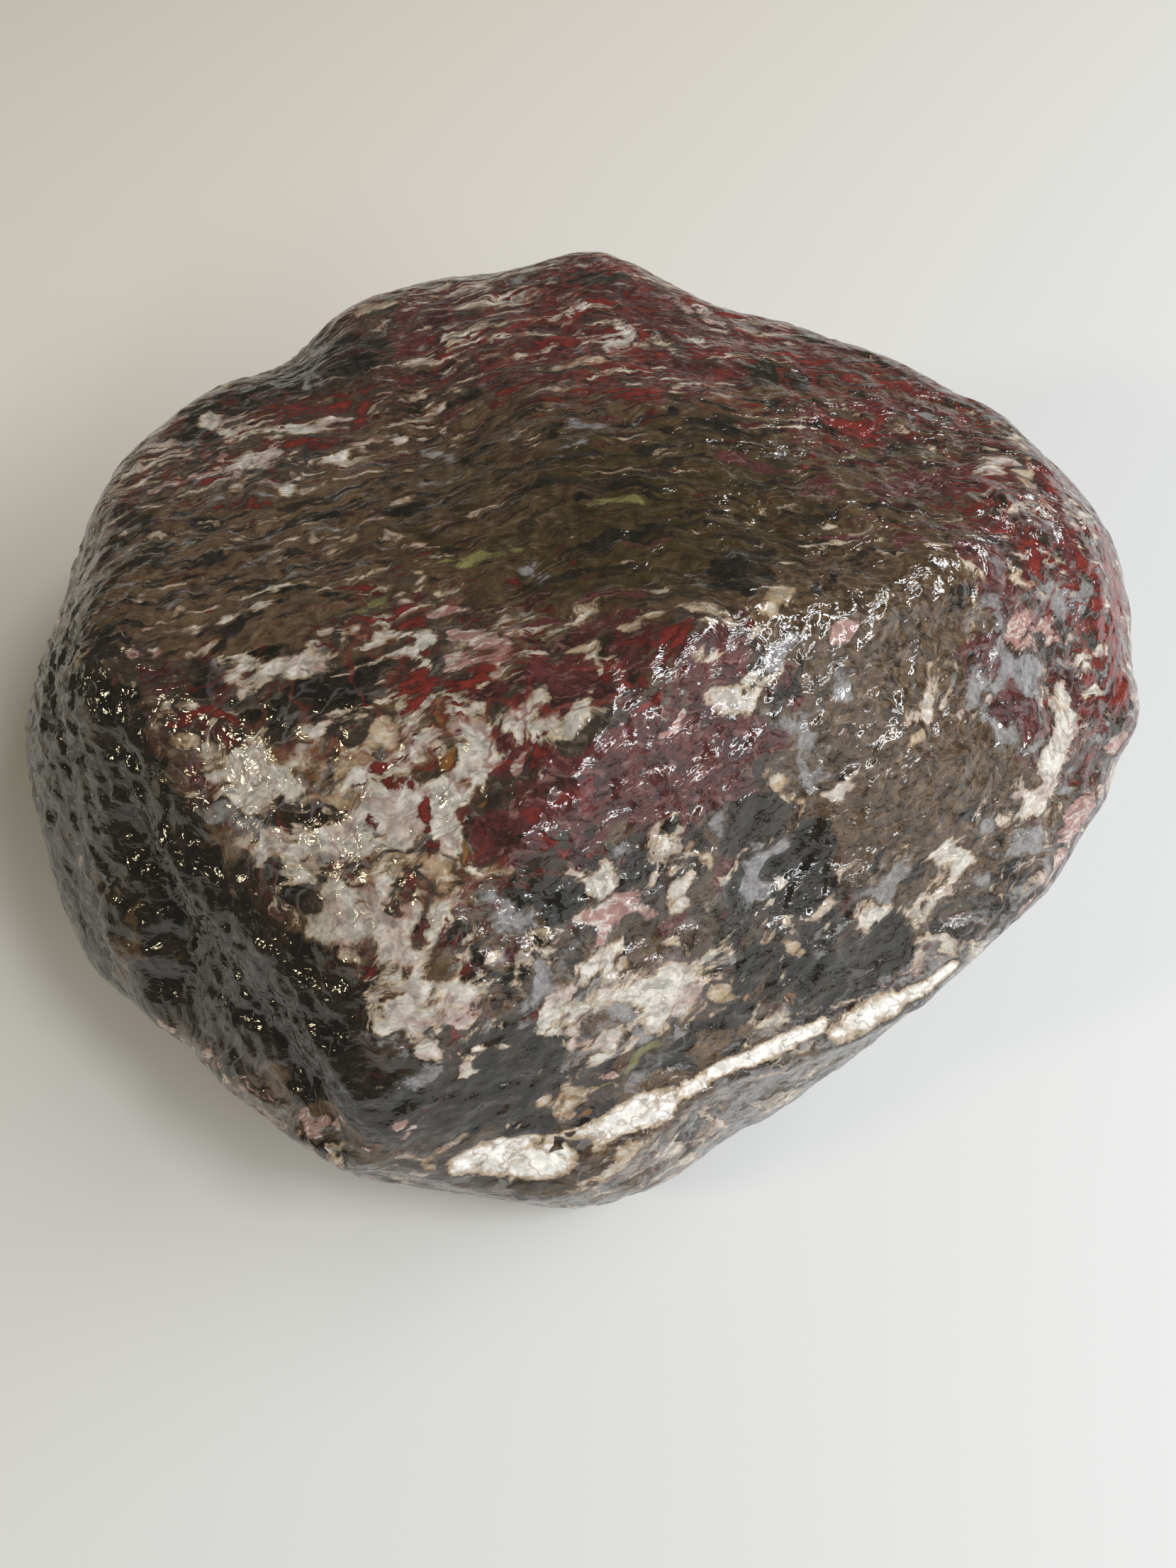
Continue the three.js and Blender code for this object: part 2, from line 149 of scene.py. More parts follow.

# Single strokes of one kind of rock, the haze strokes partly of painted sheen: half width in millimetres,
# and the places it runs through, in pixels of the photograph. A later stroke lies over an earlier one.
STROKE_KINDS = (
    "white", "vein", "cream", "pink", "red", "maroon", "dark", "brown", "haze_and_sheen", "green", "ochre"
)
STROKES = (
    # Far edge of the top, left of the peak
    ("dark", 5.0, (430, 525), (500, 500)),
    ("dark", 2.6, (285, 580), (365, 562)),
    ("dark", 1.5, (258, 608), (300, 625)),
    ("dark", 1.3, (180, 728), (245, 708)),
    ("cream", 1.5, (520, 437), (560, 421)),
    ("pink", 1.4, (568, 420), (618, 409)),
    ("white", 1.3, (540, 464), (562, 453)),
    ("haze_and_sheen", 1.0, (597, 488), (598, 516)),
    ("maroon", 2.4, (570, 456), (628, 445)),
    ("haze_and_sheen", 0.9, (440, 540), (466, 532)),
    ("cream", 1.5, (614, 566), (640, 550)),
    ("dark", 1.6, (655, 553), (668, 565)),
    ("ochre", 0.8, (558, 571), (570, 569)),
    ("white", 1.5, (285, 592), (300, 600), (311, 611)),
    ("red", 2.6, (385, 572), (430, 580), (465, 578)),
    ("red", 1.5, (510, 545), (518, 592)),
    ("white", 1.4, (436, 609), (460, 598)),
    ("red", 1.6, (392, 641), (430, 630), (468, 620)),
    ("white", 1.6, (342, 651), (376, 638)),
    ("white", 2.2, (440, 650), (475, 645), (503, 632)),
    ("pink", 1.2, (430, 648), (450, 642)),
    ("red", 1.1, (508, 640), (520, 612), (540, 608)),
    ("white", 1.4, (405, 682), (428, 674), (450, 673)),
    ("cream", 1.4, (322, 687), (350, 677), (376, 668)),
    ("white", 0.9, (540, 620), (580, 612)),
    ("white", 1.0, (590, 627), (626, 620)),
    ("haze_and_sheen", 1.3, (612, 641), (628, 645), (646, 650)),
    ("red", 0.9, (640, 634), (662, 629)),
    ("red", 1.3, (308, 719), (335, 712), (362, 706)),
    ("maroon", 1.4, (370, 669), (398, 660)),
    ("white", 1.4, (170, 676), (186, 660)),
    ("cream", 1.2, (214, 640), (233, 655)),
    ("haze_and_sheen", 1.0, (250, 624), (300, 641)),
    ("pink", 1.2, (290, 642), (318, 649)),
    ("pink", 1.4, (275, 676), (306, 668)),
    ("pink", 1.5, (230, 690), (262, 676)),
    # The peak and the band right of it
    ("pink", 1.2, (880, 380), (925, 400)),
    ("red", 1.1, (773, 387), (797, 380)),
    ("dark", 3.0, (815, 400), (860, 392)),
    ("haze_and_sheen", 1.2, (705, 400), (735, 392)),
    ("red", 1.2, (742, 480), (770, 488), (808, 489)),
    ("cream", 1.8, (780, 518), (812, 512), (840, 503)),
    ("cream", 1.1, (795, 520), (798, 538)),
    ("white", 1.2, (855, 488), (888, 474)),
    ("maroon", 3.2, (895, 440), (960, 452)),
    ("pink", 1.9, (955, 430), (980, 442), (1012, 452)),
    ("cream", 1.3, (903, 486), (952, 498)),
    ("pink", 1.1, (848, 541), (906, 537)),
    ("red", 1.8, (860, 556), (926, 548)),
    ("maroon", 1.9, (733, 520), (782, 532)),
    ("haze_and_sheen", 1.2, (800, 607), (865, 598)),
    ("haze_and_sheen", 1.0, (770, 629), (850, 618)),
    ("red", 1.1, (808, 651), (872, 636)),
    ("dark", 1.9, (960, 585), (1010, 590)),
    ("green", 0.8, (965, 607), (1000, 602)),
    ("maroon", 2.2, (1010, 640), (1072, 656)),
    ("cream", 1.0, (1030, 508), (1052, 505)),
    ("dark", 2.6, (1075, 522), (1132, 542)),
    ("red", 2.0, (1110, 506), (1200, 530)),
    ("red", 1.8, (1200, 527), (1280, 542)),
    ("maroon", 2.2, (1260, 566), (1340, 590)),
    ("red", 2.1, (1178, 592), (1240, 615)),
    ("cream", 0.8, (1165, 576), (1195, 568)),
    ("red", 1.2, (1100, 656), (1180, 641)),
    ("haze_and_sheen", 0.9, (1080, 645), (1160, 632)),
    ("green", 1.6, (1215, 641), (1290, 622)),
    ("cream", 1.4, (1292, 633), (1342, 628)),
    ("haze_and_sheen", 1.1, (1285, 601), (1335, 590)),
    # The brown band and its green heart
    ("green", 1.5, (635, 796), (670, 789), (706, 785)),
    ("green", 0.9, (735, 775), (790, 762)),
    ("green", 1.4, (848, 712), (920, 700)),
    ("cream", 0.9, (540, 706), (600, 696)),
    ("cream", 1.2, (485, 755), (526, 748)),
    ("haze_and_sheen", 0.8, (350, 768), (396, 754)),
    ("cream", 0.9, (270, 821), (330, 805)),
    ("dark", 1.9, (1020, 820), (1036, 826)),
    ("green", 0.8, (1185, 690), (1202, 700)),
    # Red streaks behind the pale slope
    ("dark", 3.2, (334, 912), (395, 896), (462, 856)),
    ("brown", 2.2, (345, 908), (400, 892), (455, 862)),
    ("white", 1.1, (466, 904), (488, 886)),
    ("white", 1.2, (320, 872), (375, 852)),
    ("green", 2.3, (492, 872), (540, 842)),
    ("cream", 1.3, (528, 797), (578, 809)),
    ("haze_and_sheen", 0.8, (485, 796), (522, 784)),
    ("red", 1.2, (470, 818), (515, 813), (565, 813)),
    ("red", 0.9, (480, 837), (540, 828)),
    ("red", 1.3, (660, 838), (702, 832)),
    ("red", 0.9, (428, 894), (470, 892), (512, 887)),
    ("red", 1.0, (508, 886), (550, 868), (588, 838)),
    ("cream", 1.1, (441, 909), (480, 897), (525, 893)),
    ("red", 1.0, (500, 921), (545, 918), (588, 915)),
    ("red", 0.9, (565, 875), (640, 872), (700, 868)),
    ("white", 1.6, (500, 946), (560, 940), (612, 932)),
    ("white", 1.3, (528, 902), (600, 893)),
    ("pink", 1.6, (600, 858), (668, 850)),
    ("red", 0.9, (562, 905), (592, 922)),
    ("haze_and_sheen", 0.9, (592, 885), (593, 945)),
    ("maroon", 1.5, (612, 888), (608, 938)),
    ("pink", 2.1, (630, 892), (705, 900)),
    ("pink", 1.8, (620, 932), (690, 936)),
    ("red", 1.4, (618, 971), (670, 962)),
    ("red", 1.5, (560, 961), (602, 970)),
    ("haze_and_sheen", 1.0, (725, 818), (766, 812)),
    ("cream", 1.3, (772, 936), (830, 915), (890, 888), (938, 866)),
    ("haze_and_sheen", 1.3, (808, 954), (852, 962)),
    ("cream", 1.9, (990, 862), (1026, 856)),
    ("cream", 2.1, (1100, 858), (1126, 840)),
    # Left end of the pale slope
    ("maroon", 2.6, (172, 940), (205, 945), (240, 962)),
    ("pink", 1.9, (175, 925), (215, 915)),
    ("white", 0.7, (188, 950), (192, 975)),
    ("white", 0.8, (222, 1000), (236, 980)),
    ("cream", 1.3, (195, 1015), (225, 1003)),
    ("cream", 1.4, (240, 1006), (262, 990)),
    ("dark", 2.8, (275, 965), (310, 985), (345, 1002)),
    ("haze_and_sheen", 1.0, (288, 948), (298, 948)),
    ("white", 1.4, (330, 955), (366, 940)),
    ("white", 1.6, (383, 950), (425, 935), (462, 921)),
    ("red", 1.7, (245, 1032), (285, 1016), (322, 1014)),
    ("cream", 1.6, (235, 1060), (286, 1050)),
    ("maroon", 1.9, (295, 1045), (336, 1066)),
    ("maroon", 1.2, (280, 1106), (320, 1120)),
    # The pale slope
    ("white", 1.4, (378, 1051), (430, 1040), (462, 1028)),
    ("white", 1.2, (500, 1000), (540, 975)),
    ("red", 2.2, (530, 966), (555, 958), (582, 962)),
    ("red", 0.9, (514, 985), (546, 983)),
    ("red", 1.4, (465, 1047), (495, 1033), (532, 1025)),
    ("dark", 4.2, (372, 1006), (430, 993), (478, 972), (508, 955)),
    ("brown", 2.1, (380, 1068), (440, 1078)),
    ("white", 2.1, (325, 1086), (366, 1070)),
    ("cream", 2.6, (468, 1076), (540, 1050)),
    ("white", 2.4, (350, 1118), (420, 1130)),
    ("cream", 2.5, (440, 1120), (505, 1118)),
    ("red", 1.0, (503, 1103), (536, 1093)),
    ("red", 0.8, (550, 1115), (562, 1110)),
    ("white", 2.6, (545, 1140), (576, 1176)),
    ("white", 2.8, (622, 1080), (626, 1125), (618, 1170)),
    ("red", 1.2, (590, 1086), (596, 1140), (586, 1186)),
    ("red", 0.9, (600, 1190), (612, 1188)),
    ("dark", 2.0, (372, 1143), (420, 1152), (468, 1165)),
    ("red", 1.0, (466, 1158), (520, 1155)),
    ("haze_and_sheen", 2.0, (308, 1136), (350, 1156)),
    ("white", 2.6, (380, 1196), (450, 1208)),
    ("haze_and_sheen", 1.6, (440, 1206), (462, 1204)),
    ("dark", 1.1, (462, 1214), (512, 1222)),
    ("cream", 3.0, (450, 1252), (530, 1245), (600, 1230)),
    ("white", 3.0, (460, 1280), (550, 1285)),
    ("maroon", 0.9, (505, 1279), (576, 1268)),
    ("ochre", 0.9, (452, 1240), (462, 1238)),
    ("brown", 3.0, (275, 1180), (330, 1230)),
    ("dark", 3.5, (360, 1246), (430, 1252)),
    # Between the pale slope and the ridge
    ("maroon", 2.2, (740, 960), (830, 972)),
    ("maroon", 2.2, (758, 1000), (840, 990)),
    ("maroon", 1.7, (685, 1002), (712, 1026), (740, 1050)),
    ("white", 3.0, (793, 1056), (824, 1034), (850, 1014)),
    ("white", 2.4, (664, 1058), (650, 1100)),
    ("white", 2.2, (728, 1036), (776, 996)),
    ("white", 2.0, (700, 1110), (716, 1090)),
    ("pink", 2.0, (722, 1072), (744, 1108)),
    ("red", 1.0, (735, 1080), (780, 1061)),
    ("cream", 2.3, (705, 1150), (760, 1112)),
    ("maroon", 2.3, (690, 1176), (758, 1162)),
    ("red", 1.7, (745, 1180), (785, 1190)),
    ("ochre", 1.0, (690, 1092), (692, 1122), (666, 1150), (655, 1180), (645, 1208)),
    ("ochre", 1.3, (632, 984), (620, 1020), (604, 1060), (590, 1096)),
    ("haze_and_sheen", 0.6, (676, 1135), (670, 1160)),
    ("red", 1.3, (958, 902), (927, 960), (901, 998), (874, 1033), (843, 1063), (809, 1098),
                  (774, 1124), (755, 1167)),
    ("red", 1.8, (945, 902), (986, 876)),
    # The maroon face right of the ridge
    ("maroon", 5.0, (820, 1130), (880, 1080), (960, 1040)),
    ("maroon", 5.0, (960, 1110), (1040, 1080)),
    ("maroon", 3.6, (960, 1012), (1010, 985)),
    ("pink", 1.1, (890, 1016), (905, 1008)),
    ("pink", 1.9, (915, 1041), (950, 1015)),
    ("white", 2.7, (1032, 990), (1052, 966), (1078, 938)),
    # The haze strokes on this face are painted sheen as well as thin quartz: grey-blue reflections of the
    # bright room on smooth facets
    ("haze_and_sheen", 1.8, (1078, 938), (1125, 900)),
    ("haze_and_sheen", 1.6, (1112, 1005), (1135, 1040), (1155, 1072)),
    ("cream", 2.5, (1096, 1086), (1120, 1134)),
    ("maroon", 0.7, (1117, 1133), (1122, 1128)),
    ("haze_and_sheen", 1.9, (1015, 1150), (1046, 1170)),
    ("haze_and_sheen", 1.5, (1040, 1182), (1066, 1194)),
    ("haze_and_sheen", 1.5, (870, 1206), (910, 1190)),
    ("dark", 3.0, (1050, 1160), (1085, 1150)),
    ("dark", 3.6, (1110, 1250), (1150, 1180)),
    ("haze_and_sheen", 1.9, (1070, 1258), (1110, 1192)),
    ("haze_and_sheen", 0.9, (1148, 1250), (1176, 1190)),
    ("cream", 1.9, (935, 1246), (985, 1232)),
    ("white", 2.3, (923, 1290), (975, 1260)),
    ("white", 1.5, (805, 1240), (841, 1240)),
    ("ochre", 0.7, (790, 1248), (800, 1244)),
    ("haze_and_sheen", 1.9, (688, 1257), (726, 1250)),
    ("dark", 2.6, (740, 1242), (790, 1276)),
    ("pink", 3.2, (825, 1302), (905, 1285)),
    ("red", 0.9, (813, 1311), (831, 1318)),
    ("haze_and_sheen", 2.6, (690, 1290), (740, 1302)),
    ("white", 1.0, (1074, 1282), (1096, 1255)),
    ("white", 2.4, (1122, 1304), (1156, 1285), (1184, 1270)),
    ("cream", 2.2, (1091, 1314), (1108, 1338)),
    # The granular brown face and its veins
    ("brown", 6.0, (1210, 1000), (1230, 920), (1290, 880)),
    ("brown", 6.0, (1230, 1150), (1290, 1120), (1360, 1080)),
    # These haze strokes are partly painted sheen, the grey reflection of the bright room
    ("haze_and_sheen", 2.0, (1180, 960), (1205, 986)),
    ("haze_and_sheen", 2.0, (1110, 1012), (1166, 995)),
    ("haze_and_sheen", 1.6, (1121, 1022), (1141, 1050), (1155, 1080)),
    ("white", 2.6, (1290, 1032), (1300, 1000), (1321, 964)),
    ("cream", 1.9, (1285, 1045), (1295, 1078)),
    ("pink", 1.5, (1190, 906), (1216, 890)),
    ("ochre", 1.0, (1318, 816), (1346, 800)),
    ("ochre", 0.9, (1322, 868), (1326, 892)),
    ("haze_and_sheen", 1.6, (1165, 1096), (1200, 1076)),
    ("white", 1.6, (1166, 1115), (1206, 1100)),
    ("ochre", 0.9, (1232, 1214), (1246, 1240)),
    ("haze_and_sheen", 1.9, (1240, 1260), (1266, 1236)),
    ("white", 1.5, (1205, 1300), (1240, 1286)),
    ("white", 1.8, (1326, 1194), (1350, 1212)),
    ("haze_and_sheen", 1.3, (1390, 1160), (1415, 1150)),
    ("white", 2.4, (1425, 1142), (1474, 1130)),
    ("white", 2.0, (1286, 1290), (1310, 1262), (1326, 1244)),
    ("ochre", 0.9, (1305, 1286), (1326, 1260)),
    ("pink", 1.5, (1345, 1266), (1370, 1245)),
    ("haze_and_sheen", 1.9, (1390, 1220), (1455, 1186)),
    ("dark", 1.6, (1145, 1380), (1166, 1345)),
    ("dark", 4.0, (1172, 1380), (1250, 1332)),
    ("ochre", 0.8, (1100, 1400), (1115, 1408)),
    # The pale net on the right
    ("maroon", 1.7, (1410, 974), (1450, 985)),
    ("maroon", 3.2, (1430, 1000), (1486, 1030)),
    ("maroon", 2.5, (1500, 970), (1540, 990)),
    ("haze_and_sheen", 1.4, (1374, 972), (1404, 963), (1440, 958)),
    ("haze_and_sheen", 1.3, (1366, 991), (1389, 1010), (1420, 1029), (1458, 1044), (1481, 1044)),
    ("haze_and_sheen", 1.0, (1458, 975), (1466, 1010)),
    ("white", 2.0, (1492, 979), (1504, 1014), (1487, 1056), (1481, 1086), (1487, 1120), (1478, 1160)),
    ("haze_and_sheen", 1.1, (1403, 868), (1408, 906)),
    ("haze_and_sheen", 1.7, (1430, 925), (1460, 950)),
    ("pink", 3.0, (1440, 880), (1500, 900)),
    ("cream", 1.2, (1465, 904), (1492, 900)),
    ("haze_and_sheen", 1.6, (1455, 822), (1500, 860)),
    ("cream", 1.6, (1428, 800), (1450, 816)),
    ("haze_and_sheen", 1.8, (1520, 850), (1546, 900)),
    ("dark", 1.4, (1534, 885), (1542, 905)),
    ("red", 1.1, (1505, 920), (1526, 910)),
    ("white", 1.4, (1515, 936), (1546, 915)),
    ("red", 1.0, (1460, 950), (1475, 970)),
    # Right shoulder and limb
    ("maroon", 2.2, (1258, 690), (1330, 680)),
    ("red", 2.1, (1334, 700), (1386, 726)),
    ("white", 2.1, (1395, 662), (1426, 655)),
    ("red", 1.0, (1384, 642), (1400, 625), (1430, 629), (1446, 652)),
    ("cream", 1.5, (1434, 612), (1452, 655), (1448, 692)),
    ("red", 1.5, (1466, 652), (1480, 682)),
    # Painted sheen: a bluish-white reflection on the shoulder
    ("haze_and_sheen", 1.7, (1455, 700), (1476, 742)),
    ("maroon", 1.4, (1490, 700), (1502, 760), (1512, 806)),
    ("red", 1.5, (1445, 760), (1466, 812)),
    ("red", 1.3, (1545, 746), (1568, 778)),
    ("pink", 1.5, (1515, 740), (1530, 792)),
    ("red", 2.6, (1566, 792), (1580, 840), (1574, 880)),
    ("white", 1.1, (1582, 862), (1590, 902)),
    ("red", 2.2, (1570, 902), (1582, 990)),
    ("red", 1.2, (1520, 792), (1540, 850), (1560, 922)),
    # Below the right limb
    ("red", 1.6, (1515, 1120), (1540, 1075)),
    ("pink", 2.2, (1500, 1190), (1540, 1120), (1580, 1040)),
    ("pink", 1.6, (1440, 1280), (1496, 1206), (1528, 1160)),
    # The dark left face
    ("dark", 6.0, (70, 960), (110, 1080), (150, 1200)),
    ("dark", 7.0, (160, 1050), (230, 1180), (330, 1330), (430, 1420)),
    ("dark", 6.0, (250, 1400), (380, 1480), (480, 1560)),
    ("brown", 4.6, (160, 1262), (184, 1330)),
    # Painted shade: a dark stroke along a crease of the left face
    ("dark", 1.8, (214, 1270), (228, 1330), (230, 1400)),
    # The pillows of white quartz and what lies below them
    ("white", 3.2, (520, 1310), (564, 1325), (580, 1335)),
    ("white", 2.6, (535, 1430), (576, 1410)),
    ("white", 1.4, (570, 1402), (585, 1370)),
    ("white", 3.2, (600, 1442), (622, 1425), (640, 1412)),
    ("white", 2.0, (606, 1476), (630, 1452)),
    ("haze_and_sheen", 1.7, (580, 1526), (610, 1514)),
    ("haze_and_sheen", 1.5, (515, 1466), (538, 1460)),
    ("maroon", 1.6, (515, 1481), (546, 1500)),
    ("pink", 1.6, (575, 1592), (602, 1580)),
    ("haze_and_sheen", 2.2, (752, 1406), (764, 1390), (772, 1374)),
    ("white", 1.3, (769, 1428), (785, 1450), (806, 1459)),
    ("cream", 1.3, (945, 1330), (970, 1336)),
    ("cream", 1.5, (870, 1361), (890, 1350)),
    ("white", 2.6, (925, 1395), (966, 1406)),
    ("haze_and_sheen", 1.0, (905, 1444), (915, 1461)),
    ("haze_and_sheen", 1.1, (945, 1461), (980, 1448)),
    ("brown", 2.3, (975, 1490), (1006, 1475)),
    ("cream", 1.2, (1005, 1410), (1036, 1416)),
    ("green", 1.7, (890, 1501), (915, 1486)),
    ("dark", 1.9, (926, 1504), (960, 1476)),
    ("dark", 4.6, (650, 1570), (690, 1530), (722, 1500)),
    ("dark", 2.4, (735, 1560), (772, 1588)),
    ("white", 1.3, (704, 1490), (746, 1480)),
    ("white", 1.3, (805, 1481), (862, 1470)),
    ("dark", 1.2, (825, 1501), (846, 1496)),
    ("cream", 3.5, (762, 1556), (800, 1550), (836, 1535)),
    ("pink", 2.0, (830, 1521), (856, 1505)),
    ("ochre", 1.1, (832, 1574), (850, 1546)),
    ("white", 1.0, (660, 1506), (680, 1495)),
    ("red", 1.3, (645, 1470), (636, 1490), (622, 1522), (615, 1560), (612, 1602)),
    # The raised quartz vein, from its thin right end to its broad left end
    ("vein", 1.5, (1340, 1366), (1315, 1386), (1264, 1412)),
    ("vein", 2.7, (1260, 1418), (1222, 1436), (1188, 1456)),
    ("vein", 1.5, (1156, 1448), (1124, 1462), (1092, 1477), (1060, 1492)),
    ("vein", 1.6, (1060, 1492), (1013, 1510), (979, 1532), (944, 1546)),
    ("vein", 2.1, (944, 1546), (910, 1560), (875, 1578), (841, 1606)),
    ("vein", 1.9, (940, 1566), (863, 1591), (800, 1604), (720, 1614), (640, 1626), (600, 1632)),
    ("cream", 4.6, (604, 1642), (634, 1644), (686, 1648), (738, 1650), (780, 1636)),
    ("vein", 4.4, (660, 1640), (720, 1642), (782, 1636)),
    ("cream", 2.4, (800, 1678), (860, 1656), (900, 1626)),
    ("ochre", 0.5, (838, 1576), (802, 1600), (786, 1620), (776, 1640)),
    ("maroon", 0.9, (690, 1672), (716, 1680)),
    ("maroon", 0.8, (734, 1690), (756, 1683)),
    # The pale ledge on the lower left
    ("cream", 2.0, (362, 1500), (400, 1516)),
    ("brown", 1.8, (385, 1512), (430, 1550), (480, 1586), (530, 1610)),
    ("pink", 1.5, (226, 1446), (265, 1464), (313, 1494), (350, 1526), (396, 1562), (464, 1596),
                   (516, 1622), (568, 1645), (602, 1656)),
    ("ochre", 0.8, (264, 1461), (274, 1466)),
    ("ochre", 0.9, (408, 1550), (418, 1556)),
    ("ochre", 0.9, (497, 1600), (508, 1603)),
)


class Wire:
    """An output of a node. Sums written with it add the nodes that work them out."""

    def __init__(self, recipe, socket, kind="value"):
        self.recipe = recipe
        self.socket = socket
        self.kind = kind

    def join(self, operation, *terms):
        if self.kind == "vector":
            return self.recipe.vector_maths(operation, *terms)
        return self.recipe.maths(operation, *terms)

    def __add__(self, other):
        return self.join("ADD", self, other)

    def __sub__(self, other):
        return self.join("SUBTRACT", self, other)

    def __rsub__(self, other):
        return self.join("SUBTRACT", other, self)

    def __mul__(self, other):
        if self.kind == "vector":
            return self.recipe.scaled(self, other)
        return self.join("MULTIPLY", self, other)

    def __truediv__(self, other):
        return self.join("DIVIDE", self, other)


class Recipe:
    """A node tree being written, for a material or for geometry."""

    def __init__(self, tree):
        self.tree = tree

    def node(self, kind, settings=None, values=None):
        """Adds a node: its settings are set first, then the values or wires of its sockets."""
        node = self.tree.nodes.new(kind)
        for name, setting in (settings or {}).items():
            setattr(node, name, setting)
        for name, value in (values or {}).items():
            if isinstance(value, Wire):
                self.tree.links.new(value.socket, node.inputs[name])
            else:
                node.inputs[name].default_value = value
        return node

    def wire(self, kind, settings=None, values=None, output=0, carries="value"):
        """Adds a node and gives one of its outputs."""
        return Wire(self, self.node(kind, settings, values).outputs[output], carries)

    def maths(self, operation, *terms):
        return self.wire("ShaderNodeMath", {"operation": operation}, dict(enumerate(terms)))

    def vector_maths(self, operation, *terms):
        values = dict(enumerate(terms))
        return self.wire("ShaderNodeVectorMath", {"operation": operation}, values, 0, "vector")

    def scaled(self, vector, factor):
        values = {0: vector, "Scale": factor}
        return self.wire("ShaderNodeVectorMath", {"operation": "SCALE"}, values, 0, "vector")

    def dot(self, vector, direction):
        values = {0: vector, 1: direction}
        return self.wire("ShaderNodeVectorMath", {"operation": "DOT_PRODUCT"}, values, 1)

    def vector(self, x, y, z):
        return self.wire("ShaderNodeCombineXYZ", None, {0: x, 1: y, 2: z}, 0, "vector")

    def measured(self, place, size):
        """A place in units of this size."""
        return place / self.vector(size, size, size)

    def step(self, value, start, end, low=0.0, high=1.0):
        """A smooth step from low to high as the value goes from start to end."""
        values = {0: value, 1: start, 2: end, 3: low, 4: high}
        return self.wire("ShaderNodeMapRange", {"interpolation_type": "SMOOTHSTEP"}, values)

    def noise(self, place, size, detail=3.0, rough=0.55, swirl=0.0):
        """Cloudy noise about 0.5, with lumps of about this size."""
        return Wire(self, self.clouds(place, size, detail, rough, swirl).outputs[0])

    def shifts(self, place, size, detail):
        """Cloudy noise in three directions, each about 0."""
        cloud = Wire(self, self.clouds(place, size, detail, 0.55, 0.0).outputs[1], "vector")
        return cloud - (0.5, 0.5, 0.5)

    def clouds(self, place, size, detail, rough, swirl):
        values = {"Vector": place, "Scale": 1 / size, "Detail": detail, "Roughness": rough}
        return self.node("ShaderNodeTexNoise", None, {**values, "Distortion": swirl})

    def mixed(self, factor, one, other):
        """Colour one where the factor is 0, the other where it is 1."""
        values = {0: factor, 6: one, 7: other}
        return self.wire("ShaderNodeMix", {"data_type": "RGBA"}, values, 2, "vector")

    def blended(self, factor, one, other):
        """Value one where the factor is 0, the other where it is 1."""
        return self.wire("ShaderNodeMix", None, {0: factor, 2: one, 3: other})


def smooth(value, start, end):
    """A smooth step from 0 to 1 as the value goes from start to end."""
    share = np.clip((value - start) / (end - start), 0, 1)
    return share * share * (3 - 2 * share)


def vertices_mm(mesh):
    points = np.empty(len(mesh.vertices) * 3, np.float32)
    mesh.vertices.foreach_get("co", points)
    return points.reshape(-1, 3).astype(float) / MM


def store(mesh, name, values):
    attribute = mesh.attributes.new(name, "FLOAT", "POINT")
    attribute.data.foreach_set("value", np.asarray(values, np.float32))


def merged_copy(node):
    """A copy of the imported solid's mesh with its loose triangles joined."""
    mesh = node.data.copy()
    work = bmesh.new()
    work.from_mesh(mesh)
    bmesh.ops.remove_doubles(work, verts=work.verts, dist=0.01 * MM)
    work.to_mesh(mesh)
    work.free()
    mesh.materials.clear()
    for name in [a.name for a in mesh.attributes if a.name.startswith("custom_normal")]:
        mesh.attributes.remove(mesh.attributes[name])
    mesh.update()
    return mesh


def store_zones(mesh):
    """Spreads the zones' shares over the stone, each zone fading into the next."""
    points = vertices_mm(mesh)
    total = np.zeros(len(points))
    sums = np.zeros((len(points), len(SHARES)))
    for _name, place, radius, shares in ZONES:
        distance = np.linalg.norm(points - np.array(place), axis=1) / radius
        weight = 1 / (ZONE_CORE + distance**4)
        total += weight
        sums += weight[:, None] * (np.array(shares) / 100)
    for name, share in zip(SHARES, (sums / total[:, None]).T):
        store(mesh, "share_" + name, share)


def camera_turn():
    return Euler((math.radians(90 - CAMERA_PITCH), 0, 0))


def seen_place(tree, pixel):
    """The point of the stone that the photograph shows at a pixel, in millimetres."""
    pixels_per_unit = CAMERA_LENS / SENSOR * PICTURE[1]
    right = (pixel[0] - PICTURE[0] / 2) / pixels_per_unit
    down = (pixel[1] - PICTURE[1] / 2) / pixels_per_unit
    direction = Vector((right, -down, -1.0))
    direction.rotate(camera_turn())
    place = tree.ray_cast(Vector(CAMERA_PLACE), direction)[0]
    if place is None:
        raise ValueError(f"The photograph shows no stone at pixel {pixel}")
    return np.array(place)


def path_distance(points, path):
    """How far each point is from a path."""
    nearest = np.full(len(points), np.inf)
    for start, end in zip(path[:-1], path[1:]):
        along = end - start
        share = np.clip((points - start) @ along / (along @ along), 0, 1)
        distance = np.linalg.norm(points - start - share[:, None] * along, axis=1)
        nearest = np.minimum(nearest, distance)
    return nearest


def wandered(points):
    """The points shifted in a wavy way, which makes the strokes' edges wander."""
    noise.seed_set(WANDER_SEED)
    shifted = points
    for size, reach in WANDERINGS:
        shifted = shifted + np.array([noise.noise_vector(Vector(point) / size) * reach for point in points])
    return shifted


